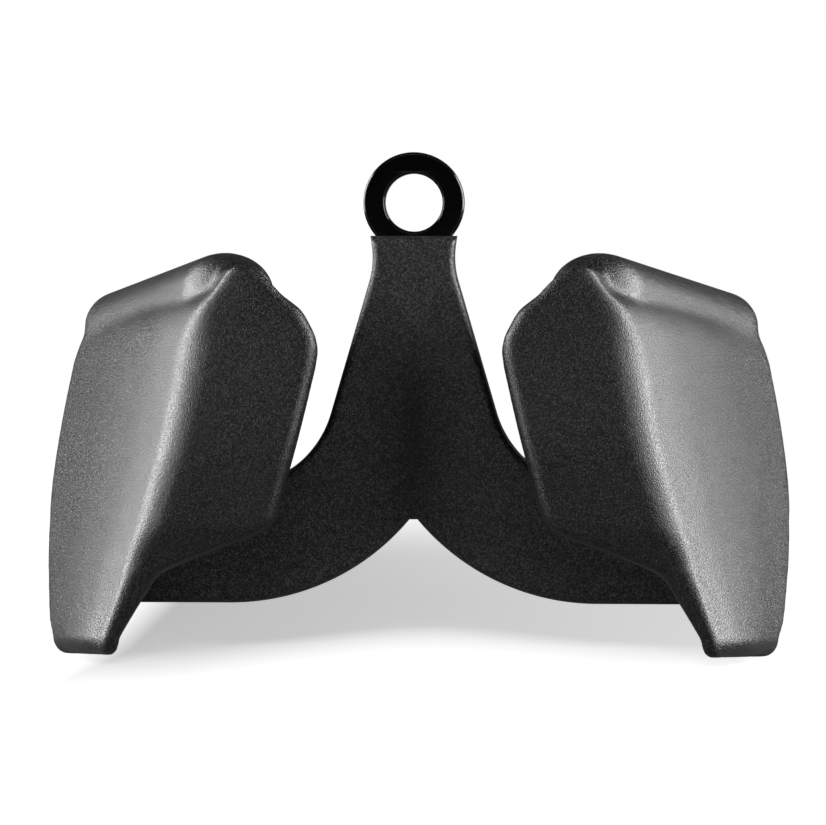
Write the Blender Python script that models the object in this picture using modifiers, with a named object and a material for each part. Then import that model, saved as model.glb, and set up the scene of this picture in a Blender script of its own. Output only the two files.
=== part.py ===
"""Close grip row handle: a steel frame with a flat eye, under moulded palm grips.

Metres, +Z up, the user on the -Y side. X = 0 is the symmetry plane, Z = 0 is the
floor under the grips' feet. Angles are in degrees until a rotation is made.
"""
import math

import bmesh
import bpy
from mathutils import Matrix, Vector

# Frame plate: eye, neck and arms, cut from one flat
PLATE_THICKNESS = 0.008
EYE_HEIGHT = 0.1575
EYE_DIAMETER = 0.035
EYE_HOLE_DIAMETER = 0.020
EYE_EDGE_ROUND = 0.0009

# Grained cover over the web
COVER_WALL = 0.0035
COVER_FACE_WALL = 0.004
COVER_TOP = 0.1460
COVER_EDGE_ROUND = 0.0025
NECK_HALF_WIDTH = 0.0138
NECK_WAIST_HEIGHT = 0.1355
NECK_TOP_FLARE = 0.0007
FLARE_ANGLE = 16.3
FLARE_END_HEIGHT = 0.0845
ARM_TOP_RADIUS = 0.036
ARM_BOTTOM = 0.0185
BELLY_RADIUS = 0.081
BELLY_CENTRE_X = 0.0637
ARCH_HALF_FLAT = 0.0014

# Palm plane: each grip's outer face, splayed in plan and leaning in towards the top
PALM_OFFSET = 0.1136
PALM_SPLAY = 27.5
PALM_LEAN = 15.0
PALM_REACH = 0.112
PALM_CROWN = 0.0016

# Grip body
GRIP_HEIGHT = 0.1345
NEAR_DEPTH = 0.046
NEAR_SET_BACK = 0.008
NEAR_BEND_HEIGHT = 0.075
BLOCK_INNER_X = 0.0260
THUMB_PEAK_X = 0.059
LEG_THICKNESS = 0.0125
BACK_THICKNESS = 0.020
FINGER_HOLLOW = 0.003
FOOT_RISE = 0.0044
CREST_DROP = 0.0135
FOOT_ROUND = 0.005
NEAR_INNER_ROUND = 0.0045
LEG_ROUND = 0.006
NEAR_PALM_ROUND = 0.011
FAR_ROUND = 0.006

# Finger roll along the top of each grip
ROLL_RADIUS = 0.014
ROLL_PROUD = 0.0014
ROLL_NEAR_REACH = 0.004
ROLL_FAR_REACH = 0.1100
ROLL_NEAR_DROP = 0.0070
ROLL_FAR_DROP = 0.0240
ROLL_END_ROUND = 0.010

# Steel inside each grip
PALM_PLATE_THICKNESS = 0.005
PALM_COAT = 0.003
PALM_PLATE_MARGIN = 0.010
PALM_PLATE_FOOT = 0.012
PALM_PLATE_CORNER = 0.008
PALM_PLATE_SET_BACK = 0.018
PALM_PLATE_STEP_HEIGHT = 0.046
LOCK_HOLE_DIAMETER = 0.010
LIP_TUBE_RADIUS = 0.009
LIP_TUBE_WALL = 0.002
LIP_TUBE_INSET = 0.009
RIB_THICKNESS = 0.005
RIB_PLACE = 0.004
RIB_REACH = 0.016
RIB_RISE_SHARE = 0.265
RIB_TOP_GAP = 0.004
ARM_WELD_RADIUS = 0.0025
ARM_WELD_BOTTOM = 0.038
LIP_WELD_RADIUS = 0.0025
RIB_WELD_RADIUS = 0.002
RIB_WELD_SHARES = (0.09, 0.82)
WELD_INSET = 0.004
COLLAR_DEPTH = 0.020

# Fits
CLEARANCE = 0.0003
OVERRUN = 0.010

# Smoothness
ARC_STEPS = 5
ROUND_SEGMENTS = 40
HOLE_SEGMENTS = 48
WELD_SEGMENTS = 16
EDGE_STEPS = 3

# Grip stations, foot to thumb peak. height: of GRIP_HEIGHT. inner: near inner corner,
# 0 at BLOCK_INNER_X and 1 at the leg's inner wall. outer: near palm corner, 0 on the
# palm plane and 1 at THUMB_PEAK_X. reach: far edge, of PALM_REACH. back: far wall, of
# BACK_THICKNESS.
STATION_SHARES = [
    (0.070, 1.11, 0.00, 0.560, 0.66),
    (0.105, 1.09, 0.00, 0.620, 0.66),
    (0.150, 1.06, 0.00, 0.670, 0.67),
    (0.200, 1.02, 0.00, 0.720, 0.69),
    (0.235, 0.97, 0.00, 0.752, 0.71),
    (0.268, 0.81, 0.00, 0.780, 0.74),
    (0.302, 0.61, 0.00, 0.805, 0.78),
    (0.336, 0.39, 0.00, 0.828, 0.82),
    (0.370, 0.28, 0.00, 0.848, 0.86),
    (0.410, 0.25, 0.00, 0.868, 0.90),
    (0.500, 0.205, 0.00, 0.905, 0.96),
    (0.600, 0.14, 0.00, 0.935, 1.00),
    (0.700, 0.067, 0.00, 0.960, 1.00),
    (0.790, 0.00, 0.00, 0.980, 1.00),
    (0.835, 0.02, 0.00, 0.985, 1.00),
    (0.870, 0.09, 0.02, 0.980, 0.95),
    (0.905, 0.22, 0.10, 0.970, 0.85),
    (0.935, 0.42, 0.28, 0.955, 0.70),
    (0.965, 0.64, 0.52, 0.935, 0.55),
    (0.990, 0.84, 0.78, 0.910, 0.40),
]
PEAK_START_SHARE = 0.835
TOP_ROUND_SHARE = 0.35
FIT_SHARE = 0.9
SHRINK_SHARE = 0.75
SIDE_SHARES = {"near": (0.33, 0.67), "palm": (0.2, 0.4, 0.6, 0.8),
               "far": (0.5,), "finger": (0.2, 0.4, 0.6, 0.8)}

# Palm plate outline, in shares of its own height and of the reach at each end
PLATE_LOW_REACH_SHARE = 0.50
PLATE_MID_HEIGHT_SHARE = 0.45
PLATE_MID_REACH_SHARE = 0.90

# Lock holes: share of the plate's reach, and of its height from the foot at that reach
LOCK_HOLE_SHARES = [(0.30, 0.87), (0.58, 0.87), (0.86, 0.86), (0.80, 0.58)]

# Values that follow
PLATE_HALF = PLATE_THICKNESS / 2
COVER_HALF = PLATE_HALF + COVER_FACE_WALL
SPLAY = math.radians(PALM_SPLAY)
LEAN = math.radians(PALM_LEAN)
FLARE = math.radians(FLARE_ANGLE)
PLATE_OUTER_FACE = PALM_COAT
PLATE_INNER_FACE = PALM_COAT + PALM_PLATE_THICKNESS
ROLL_DEPTH = ROLL_RADIUS - ROLL_PROUD
ROLL_NEAR_HEIGHT = GRIP_HEIGHT - ROLL_NEAR_DROP
ROLL_FAR_HEIGHT = GRIP_HEIGHT - ROLL_FAR_DROP


def clear_scene():
    for item in list(bpy.data.objects):
        bpy.data.objects.remove(item, do_unlink=True)


def new_collection(name):
    group = bpy.data.collections.new(name)
    bpy.context.scene.collection.children.link(group)
    return group


def material(name, colour, roughness, metallic=0.0):
    made = bpy.data.materials.new(name)
    made.use_nodes = True
    shader = made.node_tree.nodes["Principled BSDF"]
    shader.inputs["Base Color"].default_value = (*colour, 1.0)
    shader.inputs["Roughness"].default_value = roughness
    shader.inputs["Metallic"].default_value = metallic
    made.diffuse_color = (*colour, 1.0)
    return made


def add_mesh(name, mesh, group, surface=None, place=None):
    item = bpy.data.objects.new(name, mesh)
    group.objects.link(item)
    if surface:
        mesh.materials.clear()
        mesh.materials.append(surface)
    if place:
        item.matrix_world = place
    if group is CUTTERS:
        item.hide_render = True
        item.display_type = "WIRE"
    return item


def shade(mesh, angle=35.0):
    mesh.shade_smooth()
    mesh.set_sharp_from_angle(angle=math.radians(angle))


def boolean(item, other, operation):
    cut = item.modifiers.new(other.name, "BOOLEAN")
    cut.operation = operation
    cut.object = other
    cut.solver = "EXACT"
    return cut


def mirror_across(item):
    """Keeps the right half and repeats it on the left."""
    mirror = item.modifiers.new("left_half", "MIRROR")
    mirror.use_axis = (True, False, False)
    mirror.use_bisect_axis = (True, False, False)
    mirror.merge_threshold = CLEARANCE / 30


def left_copy(item):
    """A right-hand piece, finished and mirrored into its own left-hand node."""
    graph = bpy.context.evaluated_depsgraph_get()
    mesh = bpy.data.meshes.new_from_object(item.evaluated_get(graph))
    mesh.transform(Matrix.Scale(-1.0, 4, (1, 0, 0)) @ item.matrix_world)
    mesh.flip_normals()
    name = item.name.replace("right_", "left_")
    mesh.name = name
    return add_mesh(name, mesh, PARTS, item.data.materials[0])


# Points on the right palm plane: u runs back along the palm, q up its slope, r outward
ALONG = Vector((math.sin(SPLAY), math.cos(SPLAY), 0.0))
LEVEL = Vector((math.cos(SPLAY), -math.sin(SPLAY), 0.0))
UP_SLOPE = Vector((0.0, 0.0, math.cos(LEAN))) - LEVEL * math.sin(LEAN)
OUTWARD = LEVEL * math.cos(LEAN) + Vector((0.0, 0.0, math.sin(LEAN)))


def palm_point(u, q, r):
    return LEVEL * PALM_OFFSET + ALONG * u + UP_SLOPE * q + OUTWARD * r


def palm_place(u, q, r):
    turn = Matrix((ALONG, UP_SLOPE, ALONG.cross(UP_SLOPE))).transposed().to_4x4()
    return Matrix.Translation(palm_point(u, q, r)) @ turn


def slope(height):
    """Distance up the palm's slope to a height above the floor."""
    return height / math.cos(LEAN)


def palm_x(y, z, r=0.0):
    """X of the right palm plane, moved out by r, at a given Y and Z."""
    level = (r - z * math.sin(LEAN)) / math.cos(LEAN) + PALM_OFFSET
    return (level + y * math.sin(SPLAY)) / math.cos(SPLAY)


def palm_line(u, z):
    """The right palm plane's plan point at reach u and height z."""
    out = PALM_OFFSET - z * math.tan(LEAN)
    return Vector((u * math.sin(SPLAY) + out * math.cos(SPLAY),
                   u * math.cos(SPLAY) - out * math.sin(SPLAY)))


def arc(centre, radius, start, end, steps):
    """Points on an arc, angles in radians."""
    return [Vector((centre[0] + radius * math.cos(start + (end - start) * i / steps),
                    centre[1] + radius * math.sin(start + (end - start) * i / steps)))
            for i in range(steps + 1)]


def half_angle(before, corner, after):
    """Half of the angle inside a corner."""
    to_before, to_after = (before - corner).normalized(), (after - corner).normalized()
    return math.acos(max(-1.0, min(1.0, to_before.dot(to_after)))) / 2


def fitted_rounds(corners, rounds):
    """Corner radii, reduced where two of them would not fit on the side between."""
    count = len(corners)
    halves = [half_angle(corners[i - 1], corners[i], corners[(i + 1) % count])
              for i in range(count)]
    fitted = list(rounds)
    for i in range(count):
        j = (i + 1) % count
        side = (corners[j] - corners[i]).length
        need = rounds[i] / math.tan(halves[i]) + rounds[j] / math.tan(halves[j])
        if need > side * FIT_SHARE:
            fitted[i] = min(fitted[i], rounds[i] * side * FIT_SHARE / need)
            fitted[j] = min(fitted[j], rounds[j] * side * FIT_SHARE / need)
    return fitted


def rounded_corner(before, corner, after, radius, steps):
    """The arc that rounds one corner of a plan outline."""
    to_before, to_after = (before - corner).normalized(), (after - corner).normalized()
    half = half_angle(before, corner, after)
    centre = corner + (to_before + to_after).normalized() * radius / math.sin(half)
    start = corner + to_before * radius / math.tan(half) - centre
    end = corner + to_after * radius / math.tan(half) - centre
    turn = start.angle_signed(end)
    first = math.atan2(start.y, start.x)
    return [centre + Vector((math.cos(first - turn * i / steps),
                             math.sin(first - turn * i / steps))) * radius
            for i in range(steps + 1)]


def inset(corners, amount):
    """A convex outline's corners, anticlockwise, with each side moved inward."""
    moved = []
    for i, corner in enumerate(corners):
        back = (corner - corners[i - 1]).normalized()
        ahead = (corners[(i + 1) % len(corners)] - corner).normalized()
        inward = Vector((-back.y, back.x)) + Vector((-ahead.y, ahead.x))
        moved.append(corner + inward * amount / (1 + back.dot(ahead)))
    return moved


# Web outline: neck, flare, arm and belly, moved inward by a wall
def web_half_outline(wall, top, arm_end):
    """Right half of the web, from the top of the neck down to the arch."""
    neck = NECK_HALF_WIDTH - wall
    flare_end = Vector((NECK_HALF_WIDTH + (NECK_WAIST_HEIGHT - FLARE_END_HEIGHT)
                        * math.tan(FLARE), FLARE_END_HEIGHT))
    arm_centre = flare_end + Vector((math.cos(FLARE), math.sin(FLARE))) * ARM_TOP_RADIUS
    belly_centre = Vector((BELLY_CENTRE_X, ARM_BOTTOM + BELLY_RADIUS))
    arch_angle = math.acos((BELLY_CENTRE_X - ARCH_HALF_FLAT) / (BELLY_RADIUS - wall))
    waist = neck + wall * (1 - math.cos(FLARE)) / math.cos(FLARE) / 2
    points = [Vector((neck + (NECK_TOP_FLARE if wall <= 0 else 0.0), top))]
    points += [Vector((neck, NECK_WAIST_HEIGHT)),
               Vector((waist + NECK_TOP_FLARE, NECK_WAIST_HEIGHT - COVER_EDGE_ROUND))]
    points += arc(arm_centre, ARM_TOP_RADIUS + wall, math.pi + FLARE, 1.5 * math.pi,
                  3 * ARC_STEPS)
    points += [Vector((arm_end, arm_centre.y - ARM_TOP_RADIUS - wall)),
               Vector((arm_end, ARM_BOTTOM + wall))]
    points += arc(belly_centre, BELLY_RADIUS - wall, -math.pi / 2,
                  -math.pi + arch_angle, 4 * ARC_STEPS)
    return points


def web_outline(wall, top, arm_end):
    """The whole web outline as plan points, X across and Y up."""
    right = web_half_outline(wall, top, arm_end)
    left = [Vector((-p.x, p.y)) for p in reversed(right)]
    joined = right + left
    return [p for i, p in enumerate(joined)
            if (p - joined[i - 1]).length > CLEARANCE / 10]


# Solids from outlines, profiles and boxes
def flat_solid(name, outline, half_thickness, group, surface=None, place=None, edge=0.0):
    """A closed outline extruded both ways, as a mesh."""
    curve = bpy.data.curves.new(name, "CURVE")
    curve.dimensions = "2D"
    curve.fill_mode = "BOTH"
    curve.extrude = half_thickness - edge
    curve.bevel_depth = edge
    curve.bevel_resolution = 1
    curve.offset = -edge
    spline = curve.splines.new("POLY")
    spline.points.add(len(outline) - 1)
    for point, corner in zip(spline.points, outline):
        point.co = (corner.x, corner.y, 0.0, 1.0)
    spline.use_cyclic_u = True
    source = bpy.data.objects.new(name + "_outline", curve)
    bpy.context.scene.collection.objects.link(source)
    bpy.context.view_layer.update()
    graph = bpy.context.evaluated_depsgraph_get()
    mesh = bpy.data.meshes.new_from_object(source.evaluated_get(graph))
    bpy.data.objects.remove(source, do_unlink=True)
    bpy.data.curves.remove(curve)
    close_mesh(mesh)
    mesh.name = name
    return add_mesh(name, mesh, group, surface, place)


def close_mesh(mesh):
    """Weld loose caps and turn every face outward."""
    work = bmesh.new()
    work.from_mesh(mesh)
    bmesh.ops.remove_doubles(work, verts=work.verts, dist=CLEARANCE / 30)
    bmesh.ops.recalc_face_normals(work, faces=work.faces)
    work.to_mesh(mesh)
    work.free()
    shade(mesh)


def upright(y=0.0):
    """Stands a plan outline up: its Y becomes world Z."""
    return Matrix.Translation((0.0, y, 0.0)) @ Matrix.Rotation(math.pi / 2, 4, "X")


def turned(name, profile, place, group, surface=None, segments=ROUND_SEGMENTS):
    """A profile of (radius, length) points, turned about its local Z."""
    work = bmesh.new()
    ring = [work.verts.new((radius, 0.0, along)) for radius, along in profile]
    edges = [work.edges.new((ring[i], ring[i + 1])) for i in range(len(ring) - 1)]
    if profile[0][0] > 0:
        edges.append(work.edges.new((ring[-1], ring[0])))
    bmesh.ops.spin(work, geom=ring + edges, cent=(0, 0, 0), axis=(0, 0, 1),
                   angle=2 * math.pi, steps=segments, use_merge=True)
    bmesh.ops.remove_doubles(work, verts=work.verts, dist=CLEARANCE / 30)
    bmesh.ops.recalc_face_normals(work, faces=work.faces)
    mesh = bpy.data.meshes.new(name)
    work.to_mesh(mesh)
    work.free()
    shade(mesh)
    return add_mesh(name, mesh, group, surface, place)


def rod(name, start, end, radius, group, surface=None, bore=0.0, end_round=0.0,
        segments=ROUND_SEGMENTS):
    """A round bar, a tube with a bore, or a bar with rounded ends, between two points."""
    length = (end - start).length
    place = Matrix.Translation(start) @ (end - start).to_track_quat("Z", "Y").to_matrix().to_4x4()
    if bore:
        profile = [(bore, 0.0), (radius, 0.0), (radius, length), (bore, length)]
    elif end_round:
        low = [(radius - end_round + p.x, end_round + p.y) for p in
               arc((0, 0), end_round, -math.pi / 2, 0.0, EDGE_STEPS)]
        high = [(radius - end_round + p.x, length - end_round + p.y) for p in
                arc((0, 0), end_round, 0.0, math.pi / 2, EDGE_STEPS)]
        profile = [(0.0, 0.0)] + low + high + [(0.0, length)]
    else:
        profile = [(0.0, 0.0), (radius, 0.0), (radius, length), (0.0, length)]
    return turned(name, profile, place, group, surface, segments)


def box(name, size, place, group, surface=None, edge=0.0):
    """A box centred on its place."""
    work = bmesh.new()
    bmesh.ops.create_cube(work, size=1.0)
    bmesh.ops.scale(work, vec=size, verts=work.verts)
    if edge:
        bmesh.ops.bevel(work, geom=work.edges[:], offset=edge, segments=2, profile=0.5,
                        affect="EDGES")
    mesh = bpy.data.meshes.new(name)
    work.to_mesh(mesh)
    work.free()
    shade(mesh)
    return add_mesh(name, mesh, group, surface, place)


def palm_trim(name, depth, keep_outside=False):
    """A block with one face at a depth under the palm, which removes one side of it."""
    size = 2 * (PALM_OFFSET + GRIP_HEIGHT)
    centre = -depth - size / 2 if keep_outside else size / 2 - depth
    return box(name, (size, size, size), palm_place(0.0, slope(GRIP_HEIGHT) / 2, centre),
               CUTTERS)


# Frame plate
def make_frame_plate(surface):
    arm_end = palm_x(PLATE_THICKNESS, ARM_BOTTOM)
    plate = flat_solid("eye_plate", web_outline(COVER_WALL, COVER_TOP, arm_end),
                       PLATE_HALF, PARTS, surface, upright())
    ring = rod("eye_disc", Vector((0, -PLATE_HALF, EYE_HEIGHT)),
               Vector((0, PLATE_HALF, EYE_HEIGHT)), EYE_DIAMETER / 2, CUTTERS,
               end_round=EYE_EDGE_ROUND, segments=HOLE_SEGMENTS)
    boolean(plate, ring, "UNION")
    boolean(plate, palm_trim("plate_trim", PLATE_INNER_FACE + CLEARANCE), "DIFFERENCE")
    boolean(plate, eye_hole_cutter(), "DIFFERENCE")
    mirror_across(plate)


def eye_hole_cutter():
    """A bore that opens out at each face, so the hole's edges are rounded."""
    bore = EYE_HOLE_DIAMETER / 2
    flare = [(bore + EYE_EDGE_ROUND - EYE_EDGE_ROUND * math.sin(a),
              EYE_EDGE_ROUND - EYE_EDGE_ROUND * math.cos(a))
             for a in (i * math.pi / 2 / EDGE_STEPS for i in range(EDGE_STEPS + 1))]
    profile = [(0.0, -OVERRUN), (flare[0][0], -OVERRUN)] + flare
    profile += [(r, PLATE_THICKNESS - y) for r, y in reversed(flare)]
    profile += [(flare[0][0], PLATE_THICKNESS + OVERRUN), (0.0, PLATE_THICKNESS + OVERRUN)]
    place = (Matrix.Translation((0, PLATE_HALF, EYE_HEIGHT))
             @ Matrix.Rotation(math.pi / 2, 4, "X"))
    return turned("eye_hole", profile, place, CUTTERS, segments=HOLE_SEGMENTS)


# Centre cover
def make_cover(surface):
    arm_end = palm_x(PLATE_THICKNESS, ARM_BOTTOM)
    cover = flat_solid("centre_cover", web_outline(0.0, COVER_TOP, arm_end), COVER_HALF,
                       PARTS, surface, upright(), edge=COVER_EDGE_ROUND)
    boolean(cover, palm_trim("cover_trim", COLLAR_DEPTH + CLEARANCE), "DIFFERENCE")
    boolean(cover, flat_solid("frame_pocket",
                              web_outline(COVER_WALL - CLEARANCE, COVER_TOP + OVERRUN,
                                          arm_end + OVERRUN),
                              PLATE_HALF + CLEARANCE, CUTTERS, None, upright()), "DIFFERENCE")
    boolean(cover, rod("eye_pocket", Vector((0, -PLATE_HALF - CLEARANCE, EYE_HEIGHT)),
                       Vector((0, PLATE_HALF + CLEARANCE, EYE_HEIGHT)),
                       EYE_DIAMETER / 2 + CLEARANCE, CUTTERS,
                       segments=HOLE_SEGMENTS), "DIFFERENCE")
    mirror_across(cover)


# Grip body
def near_plane(z):
    """Y of the near face, which leans back above its bend."""
    rise = (z - NEAR_BEND_HEIGHT) / (GRIP_HEIGHT - NEAR_BEND_HEIGHT)
    return NEAR_SET_BACK * min(1.0, max(0.0, 1.5 * rise)) - NEAR_DEPTH


def station_corners(station):
    """Near inner, near palm, far palm and far inner corners of one level."""
    height, inner, outer, reach, back = station
    z = height * GRIP_HEIGHT
    y = near_plane(z)
    palm = palm_x(y, z)
    leg = palm - LEG_THICKNESS / math.cos(SPLAY)
    near_inner = Vector((BLOCK_INNER_X + (leg - BLOCK_INNER_X) * inner, y))
    near_palm = Vector((palm + (THUMB_PEAK_X - palm) * outer, y))
    far_palm = palm_line(PALM_REACH * reach, z - far_drop(height))
    inward = Vector((-math.cos(SPLAY), math.sin(SPLAY)))
    far_palm += inward * (near_palm.x - palm) * -math.cos(SPLAY)
    far_inner = far_palm + inward * BACK_THICKNESS * back
    return [near_inner, near_palm, far_palm, far_inner]


def far_drop(height):
    """How far a level sinks from the near face to the far edge."""
    return FOOT_RISE + (CREST_DROP - FOOT_RISE) * height


def toward_spine(plan, corners, amount):
    """Plan points moved in towards the wall's middle line, never as far as the line."""
    near, far = (corners[0] + corners[1]) / 2, (corners[2] + corners[3]) / 2
    run = far - near
    moved = []
    for point in plan:
        share = min(SHRINK_SHARE, max(1 - SHRINK_SHARE, (point - near).dot(run) / run.dot(run)))
        gap = near + run * share - point
        moved.append(point + gap.normalized() * min(amount, gap.length * SHRINK_SHARE))
    return moved


def station_ring(station, shrink=0.0, sink=0.0):
    """One closed level of the grip as 3D points, right side."""
    height = station[0]
    corners = station_corners(station)
    top = max(0.0, (height - PEAK_START_SHARE) / (1 - PEAK_START_SHARE))
    scale = 1 - top * (1 - TOP_ROUND_SHARE)
    leg = min(1.0, max(0.0, station[1]))
    rounds = [NEAR_INNER_ROUND + (LEG_ROUND - NEAR_INNER_ROUND) * leg,
              (NEAR_PALM_ROUND + (LEG_ROUND - NEAR_PALM_ROUND) * leg) * scale,
              FAR_ROUND, FAR_ROUND]
    rounds = fitted_rounds(corners, rounds)
    names = ["near", "palm", "far", "finger"]
    bulge = {"near": 0.0, "palm": PALM_CROWN, "far": 0.0,
             "finger": -FINGER_HOLLOW * (1 - leg)}
    count = len(corners)
    arcs = [rounded_corner(corners[i - 1], corners[i], corners[(i + 1) % count],
                           rounds[i], ARC_STEPS)
            for i in range(count)]
    plan = []
    for i, name in enumerate(names):
        plan += arcs[i]
        start, end = arcs[i][-1], arcs[(i + 1) % count][0]
        run = (end - start).normalized()
        outward = Vector((run.y, -run.x))
        plan += [start.lerp(end, share)
                 + outward * bulge[name] * 4 * share * (1 - share)
                 for share in SIDE_SHARES[name]]
    if shrink:
        plan = toward_spine(plan, corners, shrink)
    near = min(p.y for p in plan)
    depth = max(p.y for p in plan) - near
    base = height * GRIP_HEIGHT - sink
    return [Vector((p.x, p.y, base - far_drop(height) * (p.y - near) / depth))
            for p in plan]


def loft(name, rings, group, surface=None):
    """A closed skin over rings that hold as many points each."""
    work = bmesh.new()
    levels = [[work.verts.new(point) for point in ring] for ring in rings]
    for low, high in zip(levels, levels[1:]):
        for i in range(len(low)):
            j = (i + 1) % len(low)
            work.faces.new((low[i], low[j], high[j], high[i]))
    work.faces.new(list(reversed(levels[0])))
    work.faces.new(levels[-1])
    bmesh.ops.triangulate(work, faces=[f for f in work.faces if len(f.verts) > 4])
    bmesh.ops.recalc_face_normals(work, faces=work.faces)
    mesh = bpy.data.meshes.new(name)
    work.to_mesh(mesh)
    work.free()
    shade(mesh, 50.0)
    return add_mesh(name, mesh, group, surface)


def grip_rings():
    """Foot round first, then the stations, then the small rounded peak."""
    foot = STATION_SHARES[0]
    rings = []
    for i in range(ARC_STEPS):
        turn = math.pi / 2 * i / ARC_STEPS
        rings.append(station_ring(foot, FOOT_ROUND * (1 - math.sin(turn)),
                                  FOOT_ROUND * math.cos(turn)))
    rings += [station_ring(station) for station in STATION_SHARES]
    return rings


def make_grip(surface):
    grip = loft("right_grip", grip_rings(), PARTS, surface)
    start, end = roll_axis()
    boolean(grip, rod("roll", start, end, ROLL_RADIUS, CUTTERS, end_round=ROLL_END_ROUND),
            "UNION")
    boolean(grip, arm_collar(), "UNION")
    for cutter in grip_cutters():
        boolean(grip, cutter, "DIFFERENCE")
    return grip


def arm_collar():
    """The grip's own sleeve round the arm's end, in line with the centre cover."""
    arm_end = palm_x(PLATE_THICKNESS, ARM_BOTTOM)
    collar = flat_solid("collar", web_outline(0.0, COVER_TOP, arm_end), COVER_HALF,
                        CUTTERS, None, upright(), edge=COVER_EDGE_ROUND)
    boolean(collar, palm_trim("collar_outer_trim", PALM_COAT), "DIFFERENCE")
    boolean(collar, palm_trim("collar_inner_trim", COLLAR_DEPTH - CLEARANCE, True),
            "DIFFERENCE")
    return collar


def roll_axis(inset_ends=0.0):
    """Centre line of the finger roll, shortened by a distance at each end."""
    near = palm_point(ROLL_NEAR_REACH, slope_at(ROLL_NEAR_HEIGHT), -ROLL_DEPTH)
    far = palm_point(ROLL_FAR_REACH, slope_at(ROLL_FAR_HEIGHT), -ROLL_DEPTH)
    run = (far - near).normalized()
    return near + run * inset_ends, far - run * inset_ends


def slope_at(height):
    """Distance up the slope of a point at the roll's depth and a given height."""
    return (height + ROLL_DEPTH * math.sin(LEAN)) / math.cos(LEAN)


def roll_slope(u):
    """Up-slope place of the roll's centre line at reach u."""
    low, high = slope_at(ROLL_FAR_HEIGHT), slope_at(ROLL_NEAR_HEIGHT)
    share = (u - ROLL_NEAR_REACH) / (ROLL_FAR_REACH - ROLL_NEAR_REACH)
    return high + (low - high) * share


def plate_foot():
    """Up-slope place of the palm plate's lower edge."""
    return slope(PALM_PLATE_FOOT + FOOT_RISE)


def plate_top(u):
    """Up-slope place of the palm plate's upper edge, under the lip tube, at reach u."""
    return roll_slope(u) - (LIP_TUBE_RADIUS + CLEARANCE) / math.cos(roll_pitch())


# Steel inside a grip; grow is the clearance that the grip's hollow adds all round
def palm_plate_outline(grow=0.0):
    """Palm plate outline in reach and slope, with rounded corners."""
    near, far = PALM_PLATE_MARGIN, PALM_REACH - PALM_PLATE_MARGIN
    foot = plate_foot()
    middle = foot + (plate_top(near) - foot) * PLATE_MID_HEIGHT_SHARE
    corners = [Vector((near, slope(PALM_PLATE_STEP_HEIGHT))),
               Vector((near + PALM_PLATE_SET_BACK, foot)),
               Vector((near + (far - near) * PLATE_LOW_REACH_SHARE, foot)),
               Vector((near + (far - near) * PLATE_MID_REACH_SHARE, middle)),
               Vector((far, plate_top(far))), Vector((near, plate_top(near)))]
    corners = inset(corners, -grow)
    count = len(corners)
    rounds = [PALM_PLATE_CORNER + grow] * 4 + [CLEARANCE + grow] * 2
    rounds = fitted_rounds(corners, rounds)
    return [p for i in range(count)
            for p in rounded_corner(corners[i - 1], corners[i], corners[(i + 1) % count],
                                    rounds[i], ARC_STEPS)]


def roll_pitch():
    """Angle by which the roll falls towards the far end, in the palm plane."""
    return math.atan2(slope_at(ROLL_NEAR_HEIGHT) - slope_at(ROLL_FAR_HEIGHT),
                      ROLL_FAR_REACH - ROLL_NEAR_REACH)


def palm_plate(name, group, surface=None, grow=0.0):
    middle = PALM_COAT + PALM_PLATE_THICKNESS / 2
    return flat_solid(name, palm_plate_outline(grow), PALM_PLATE_THICKNESS / 2 + grow,
                      group, surface, palm_place(0.0, 0.0, -middle))


def make_palm_plate(surface):
    plate = palm_plate("right_palm_plate", PARTS, surface)
    near, far = PALM_PLATE_MARGIN, PALM_REACH - PALM_PLATE_MARGIN
    for i, (along, up) in enumerate(LOCK_HOLE_SHARES):
        u = near + (far - near) * along
        q = plate_foot() + (plate_top(u) - plate_foot()) * up
        boolean(plate, rod(f"lock_hole_{i + 1}", palm_point(u, q, -PLATE_INNER_FACE - OVERRUN),
                           palm_point(u, q, OVERRUN), LOCK_HOLE_DIAMETER / 2, CUTTERS,
                           segments=ROUND_SEGMENTS // 2), "DIFFERENCE")


def lip_tube(name, group, surface=None, grow=0.0):
    start, end = roll_axis(LIP_TUBE_INSET - grow)
    bore = 0.0 if grow else LIP_TUBE_RADIUS - LIP_TUBE_WALL
    return rod(name, start, end, LIP_TUBE_RADIUS + grow, group, surface, bore=bore)


def rib_centre():
    """Reach of the thumb rib's middle."""
    return PALM_PLATE_MARGIN + RIB_PLACE


def rib_ends():
    """Slope distances of the rib's top, under the tube, and of its foot, over the arm."""
    arm, top = slope(arm_top()), roll_slope(rib_centre()) - LIP_TUBE_RADIUS - RIB_TOP_GAP
    return arm + (top - arm) * RIB_RISE_SHARE, top


def thumb_rib(name, group, surface=None, grow=0.0):
    """A flat bar on edge that carries the thick thumb block."""
    bottom, top = rib_ends()
    root = PLATE_INNER_FACE + CLEARANCE
    size = (RIB_THICKNESS + 2 * grow, top - bottom + 2 * grow, RIB_REACH + 2 * grow)
    return box(name, size, palm_place(rib_centre(), (bottom + top) / 2,
                                      -root - RIB_REACH / 2), group, surface)


def weld(name, ends, radius, group, surface=None, grow=0.0):
    """A straight bead."""
    start, end = ends
    run = (end - start).normalized() * grow
    return rod(name, start - run, end + run, radius + grow, group, surface,
               segments=WELD_SEGMENTS)


def arm_weld_ends(face):
    """Ends of the bead between the arm plate and the palm plate; face -1 near, 1 far."""
    stand = ARM_WELD_RADIUS + CLEARANCE
    y = face * (PLATE_HALF + stand)
    high = arm_top() - COVER_WALL - WELD_INSET
    return [Vector((palm_x(y, z, -PLATE_INNER_FACE - stand), y, z))
            for z in (ARM_WELD_BOTTOM, high)]


def arm_top():
    """Height of the cover's flat arm top."""
    return FLARE_END_HEIGHT + ARM_TOP_RADIUS * (math.sin(FLARE) - 1)


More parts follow.
